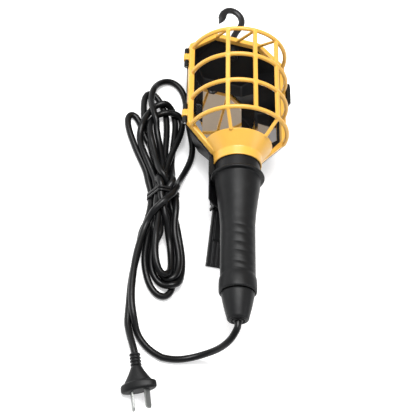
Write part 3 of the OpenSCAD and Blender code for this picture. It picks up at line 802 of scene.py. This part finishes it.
def loft(name, sections, count):
    """A skin over sections (along, half width, half height, squareness) of the plug."""
    rings = []
    for along, w, h, square in sections:
        power = 2.0 / square
        ring = []
        for a in angles(count):
            c, s = math.cos(a), math.sin(a)
            ring.append(plug_point(w * blunt(c, power), along, h * blunt(s, power)))
        rings.append(ring)
    return skin(name, rings)


def make_plug_body():
    return loft("plug_shell", PLUG_BODY + PLUG_FLANGE, 72)


def make_relief():
    ribs = []
    for i in range(RELIEF_RIBS):
        start = RELIEF_START + RELIEF_PITCH * i
        ribs += [(start + along, w, h, square) for along, w, h, square in RELIEF_RIB]
    return loft("plug_strain_relief", RELIEF_ROOT + ribs + RELIEF_TIP, 40)


def make_blades():
    bm = bmesh.new()
    for side in (-1, 1):
        lean = BLADE_LEAN * side
        rings = []
        for z in (-BLADE_HALF_THICK, BLADE_HALF_THICK):
            ring = []
            for x, along in BLADE_OUTLINE:
                across = x * math.cos(lean) + z * math.sin(lean)
                up = -x * math.sin(lean) + z * math.cos(lean)
                ring.append(plug_point(side * BLADE_HALF_PITCH + across, BLADE_ROOT + along, up))
            rings.append(ring)
        add_skin(bm, rings)
    blades = object_from_bmesh("plug_blades", bm, smooth=False)
    edge = blades.modifiers.new("edge", "BEVEL")
    edge.width = BLADE_EDGE * MM
    edge.segments = 2
    edge.limit_method = "ANGLE"
    apply_modifiers(blades)
    return blades


def make_plug():
    pieces = []
    for piece, material, slot, node in (
            (make_plug_body(), PLUG, "plug_plastic", "plug_body"),
            (make_relief(), PLUG, "plug_plastic", "plug_relief"),
            (make_blades(), BLADES, "plated_steel", "plug_pins")):
        dress(piece, material)
        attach(piece, "lamp")
        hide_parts(node)
        pieces.append(piece)
    return pieces


PLUG_PIECES = make_plug()

# ---------------------------------------------------------------- handle

# The finger grooves and the ridges between them: (station, width, height)
GROOVES = [(91.5, 1.3, 0.40), (83.0, 1.3, 0.34), (73.5, 1.5, 0.50), (64.6, 1.3, 0.46), (53.2, 1.4, 0.50),
           (46.6, 1.0, 0.34)]
RIDGES = [(87.0, 2.0, 0.22), (79.0, 2.2, 0.18), (68.6, 2.0, 0.26), (59.5, 2.2, 0.22), (49.6, 1.5, 0.22)]
# They lie across the grip's front, centred at GROOVE_ANGLE and GROOVE_SPREAD wide, in degrees, and run
# a little along it at their ends
GROOVE_ANGLE = -9
GROOVE_SPREAD = 33
GROOVE_SLANT = 2.2
GROOVE_TURN = 1.3
# Only the outside is grooved, between these stations
GROOVED_FROM, GROOVED_TO = 38, 100
GRIP_BORE = 15.2
# The grip's profile, (radius, station) from the boot's end to the hand guard
GRIP_LIP = [(14.6, 28.9), (15.9, 28.1), (16.3, 27.9)]
GRIP_BEAD = [(16.9, 27.9), (17.5, 28.6), (17.75, 30.2), (17.85, 33), (17.8, 37.5), (17.55, 41), (17.0, 43.2),
             (16.75, 44.2)]
GRIP_R = 16.6
GRIP_FLARE = [(GRIP_R, 99.5), (17.0, 104), (17.6, 111.5), (18.6, 119), (19.9, 129), (21.2, 137.5),
              (21.9, 144), (22.25, 147.5)]
HAND_GUARD = [(22.3, 148.6), (22.7, 149.5), (25.7, 149.7), (26.2, 150.6), (26.1, 151.8), (25.6, 152.6),
              (22.5, 152.85), (14.6, 152.9)]
# The boot's cord end, and the cone behind it: (radius, station)
BOOT_NOSE = [(3.3, 1.2), (3.35, 0.1), (3.7, -0.05), (4.6, 0.1), (4.95, 0.55), (5.05, 1.6), (5.6, 2.1),
             (6.3, 1.9), (6.5, 0.75), (7.0, 0.3), (7.5, 0.5), (7.7, 1.1), (8.1, 1.4), (8.6, 1.0), (9.0, 0.9),
             (9.8, 1.7), (10.25, 2.9), (10.5, 4.2)]
BOOT_BACK = [(15.2, 27.4), (11.3, 29.4)]
CONE_STEPS = 11
CONE_GROWTH = 5.0
CONE_LENGTH = 22.6
CONE_BULGE = 0.35


def grooved(r, station, angle):
    """The grip's radius with its finger grooves and ridges."""
    if r < GRIP_BORE or not GROOVED_FROM < station < GROOVED_TO:
        return r
    around = (math.degrees(angle) + 180) % 360 - 180
    front = falloff(around, GROOVE_ANGLE, GROOVE_SPREAD)
    slant = station + GROOVE_SLANT * math.sin(math.radians(around - GROOVE_ANGLE) * GROOVE_TURN)
    change = sum(h * falloff(slant, s, w) for s, w, h in RIDGES)
    change -= sum(h * falloff(slant, s, w) for s, w, h in GROOVES)
    return r + change * front


def make_grip():
    straight = [(GRIP_R, float(s)) for s in np.arange(45, 100, 0.8)]
    flare = [(float(r), float(s)) for r, s in catmull(GRIP_FLARE, 2.0)[1:]]
    guard = rounded(HAND_GUARD, 0.5, 3)
    return lathe("finger_grip", GRIP_LIP + GRIP_BEAD + straight + flare + guard, 144, grooved)


def make_boot():
    start_r, start = BOOT_NOSE[-1]
    cone = []
    for k in range(1, CONE_STEPS + 1):
        t = k / CONE_STEPS
        cone.append((start_r + CONE_GROWTH * t + CONE_BULGE * math.sin(math.pi * t), start + CONE_LENGTH * t))
    return lathe("cord_boot_cone", BOOT_NOSE + cone + BOOT_BACK, 112)


for piece, node in ((make_grip(), "rubber_grip"), (make_boot(), "cord_boot")):
    dress(piece, RUBBER)
    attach(piece, "lamp")
    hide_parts(node)

# ---------------------------------------------------------------- hook

# The hook lies level at HOOK_Z. Its stem runs from the CAD hook's own start, then bends: (across, station)
HOOK_Z = -14
HOOK_BEND = [(0, 335), (1.5, 340), (4, 346), (7, 351.5), (9.6, 357.5), (10.4, 363.5), (8.8, 369.2),
             (4.8, 373.4), (-0.8, 375.0), (-6.2, 373.2), (-10.0, 368.8), (-11.8, 363.4), (-12.8, 359.4),
             (-14.6, 355.0), (-15.4, 353.2)]
HOOK_STEP = 0.9
# The round stem's radius and how much it grows, the station where that starts and over what length, and the
# station where the stem ends
STEM_R = 3.0
STEM_GROWTH = 0.1
STEM_GROWS = 327
STEM_TAPER = 6
STEM_END = 334
# Half sizes of the bent part, and the leaf at its end: its length, its swelling, how far from the end the
# swelling is greatest and how far it spreads, and its nib
BEND_HALF = (3.35, 2.9)
LEAF_LENGTH = 22
LEAF_SWELL = 0.9
LEAF_PEAK = 11.5
LEAF_SPREAD = 5.0
NIB_LENGTH = 7
NIB_HALF = (0.75, 0.9)
HOOK_BLUNT = 0.8
# Fine ribs run along the top and the underside: their depth, how many waves there are to a half width and the
# sine past which they start. They fade over RIBS_FADE towards the nib, and are shallower on the leaf
RIB_DEPTH = 0.32
RIB_WAVES = 3.2
RIBS_START = 0.25
RIBS_FADE = 16
LEAF_RIBS = 0.5
HOOK_COLLAR = [(2.9, 323.4), (4.4, 323.4), (4.6, 324.4), (4.6, 325.6), (4.3, 326.4), (3.0, 326.5)]


def stem_section(station):
    grow = min(max((station - STEM_GROWS) / STEM_TAPER, 0), 1)
    r = STEM_R + STEM_GROWTH * grow
    return r, r, 0


def leaf_section(to_end):
    """The leaf-shaped end, which swells and then runs out to a small nib."""
    w, h = BEND_HALF
    w += LEAF_SWELL * falloff(to_end, LEAF_PEAK, LEAF_SPREAD)
    if to_end < NIB_LENGTH:
        w = NIB_HALF[0] + (w - NIB_HALF[0]) * (to_end / NIB_LENGTH) ** 0.9
        h = NIB_HALF[1] + (h - NIB_HALF[1]) * (to_end / NIB_LENGTH) ** 0.8
    return w, h, min(to_end / RIBS_FADE, 1) * LEAF_RIBS


def make_hook():
    start = (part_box("hook")[0][1] - START_Y) / MM
    pts = catmull([(x, station, HOOK_Z) for x, station in [(0, start)] + HOOK_BEND], HOOK_STEP)
    tip = int(np.argmax(pts[:, 1]))

    def section(i, a):
        to_end = (len(pts) - 1 - i) * HOOK_STEP
        w, h, ribs = (*BEND_HALF, 1)
        if i < tip and pts[i, 1] < STEM_END:
            w, h, ribs = stem_section(pts[i, 1])
        elif i > tip and to_end < LEAF_LENGTH:
            w, h, ribs = leaf_section(to_end)
        c, s = math.cos(a), math.sin(a)
        u, v = w * blunt(c, HOOK_BLUNT), h * blunt(s, HOOK_BLUNT)
        if ribs and abs(s) > RIBS_START:
            wave = 0.5 + 0.5 * math.cos(u / w * math.pi * RIB_WAVES)
            v -= math.copysign(RIB_DEPTH * ribs * wave, s)
        return u * MM, v * MM

    bent = sweep("swivel_hook", [at(*p) for p in pts], section, 64)
    collar = lathe("hook_collar", rounded(HOOK_COLLAR, 0.4, 3), 48, centre_z=HOOK_Z, caps=False)
    for piece in (bent, collar):
        dress(piece, HOOK)
        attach(piece, "hook_swivel")
    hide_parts("hook")


make_hook()

# ---------------------------------------------------------------- moulded pieces with soft edges


def soft_copy(node, name, voxel, rounds, material, body):
    """A copy of a CAD node with its edges and inside corners rounded as a moulding's are."""
    obj = link_object(name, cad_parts[node].data.copy())
    cells = obj.modifiers.new("cells", "REMESH")
    cells.mode = "VOXEL"
    cells.voxel_size = voxel * 1.0 * MM
    cells.use_smooth_shade = True
    soften = obj.modifiers.new("soften", "SMOOTH")
    soften.factor = 0.5
    soften.iterations = rounds
    apply_modifiers(obj)
    dress(obj, material)
    shade_smooth(obj.data)
    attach(obj, body)
    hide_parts(node)


soft_copy("front_cage", "cage_moulding", 0.55, 5, YELLOW, "cage_door")
soft_copy("rear_shell", "shell_moulding", 0.7, 4, BLACK, "lamp")
soft_copy("latch", "latch_moulding", 0.35, 4, BLACK, "latch_clip")
soft_copy("stand", "stand_moulding", 0.45, 3, BLACK, "folding_stand")

# ---------------------------------------------------------------- CAD nodes seen as they are

NODE_MATERIALS = {
    "reflector": MIRROR, "reflector_screws": STEEL, "hinge_pins": STEEL, "latch_pin": STEEL,
    "hook_washer": DARK_STEEL, "hook_nut": DARK_STEEL, "handle_core": BLACK, "lampholder_body": DARK_CORE,
    "lampholder_shell": BRASS, "centre_contact": BRASS, "lampholder_screws": STEEL, "terminal_screws": BRASS,
    "live_wire": LIVE, "neutral_wire": NEUTRAL, "cord_inner": JACKET, "cord_clamp": DARK_CORE,
    "clamp_screws": STEEL, "saddle_screws": STEEL, "stand_pin": STEEL}
for node, material in NODE_MATERIALS.items():
    dress_node(node, material)

# ---------------------------------------------------------------- floor, light

FLOOR_HALF = 3.0
# The floor lies a little under the lead, which rests at zero
FLOOR_DROP = 0.0002


def make_floor():
    bm = bmesh.new()
    for x, y in ((-1, -1), (1, -1), (1, 1), (-1, 1)):
        bm.verts.new((x * FLOOR_HALF, y * FLOOR_HALF, -FLOOR_DROP))
    bm.faces.new(bm.verts[:])
    floor = object_from_bmesh("pale_floor", bm, smooth=False)
    n = Nodes("pale_floor_paint")
    n.colour(n.ramp(n.noise(3, 3), [(0.3, (0.78, 0.78, 0.78)), (0.7, (0.81, 0.81, 0.81))]))
    n.rough(n.span(n.noise(40, 3), 0.6, 0.75))
    n.set(Emission_Color=(1, 1, 1, 1), Emission_Strength=0.42)
    dress(floor, n.material)


def area(name, where, target, size, power):
    data = bpy.data.lights.new(name, "AREA")
    data.shape = "RECTANGLE"
    data.size, data.size_y = size
    data.energy = power
    obj = link_object(name, data)
    obj.location = where
    obj.rotation_mode = "QUATERNION"
    obj.rotation_quaternion = (Vector(target) - Vector(where)).to_track_quat("-Z", "Y")


class Sky:
    """The room round the lamp: plain, with soft-edged screens of other colours."""

    def __init__(self, colour):
        world = bpy.data.worlds.new("studio")
        bpy.context.scene.world = world
        world.use_nodes = True
        self.tree = world.node_tree
        self.tree.nodes.clear()
        self.where = self.tree.nodes.new("ShaderNodeTexCoord").outputs["Generated"]
        self.colour = colour

    def screen(self, direction, near, far, colour):
        """Full within near of a direction and gone beyond far, both as cosines."""
        dot = self.tree.nodes.new("ShaderNodeVectorMath")
        dot.operation = "DOT_PRODUCT"
        dot.inputs[1].default_value = Vector(direction).normalized()
        self.tree.links.new(self.where, dot.inputs[0])
        share = self.tree.nodes.new("ShaderNodeMapRange")
        share.interpolation_type = "SMOOTHSTEP"
        share.inputs["From Min"].default_value = far
        share.inputs["From Max"].default_value = near
        self.tree.links.new(dot.outputs["Value"], share.inputs["Value"])
        over = self.tree.nodes.new("ShaderNodeMix")
        over.data_type = "RGBA"
        self.tree.links.new(share.outputs["Result"], over.inputs[0])
        if isinstance(self.colour, tuple):
            over.inputs[6].default_value = (*self.colour, 1)
        else:
            self.tree.links.new(self.colour, over.inputs[6])
        over.inputs[7].default_value = (*colour, 1)
        self.colour = over.outputs[2]

    def finish(self):
        out = self.tree.nodes.new("ShaderNodeOutputWorld")
        back = self.tree.nodes.new("ShaderNodeBackground")
        self.tree.links.new(self.colour, back.inputs["Color"])
        back.inputs["Strength"].default_value = 1.0
        self.tree.links.new(back.outputs[0], out.inputs["Surface"])


def make_light():
    sky = Sky((0.40, 0.405, 0.42))
    # a tan screen beyond the head of the lamp and a white one beyond its hinge side
    sky.screen((0.28, 0.51, 0.81), 0.93, 0.86, (0.42, 0.335, 0.25))
    sky.screen((-0.73, 0.51, 0.45), 0.90, 0.84, (1.1, 1.1, 1.1))
    sky.finish()
    area("key", (-0.45, 0.15, 1.50), (0, 0.0, 0.0), (0.7, 1.1), 34)
    area("fill", (1.2, -0.5, 1.1), (0, 0.0, 0.0), (0.8, 0.8), 6)


def plain_colours():
    view = bpy.context.scene.view_settings
    view.view_transform = "Standard"
    view.look = "None"
    view.exposure = 0.0
    view.gamma = 1.0


make_floor()
make_light()
plain_colours()
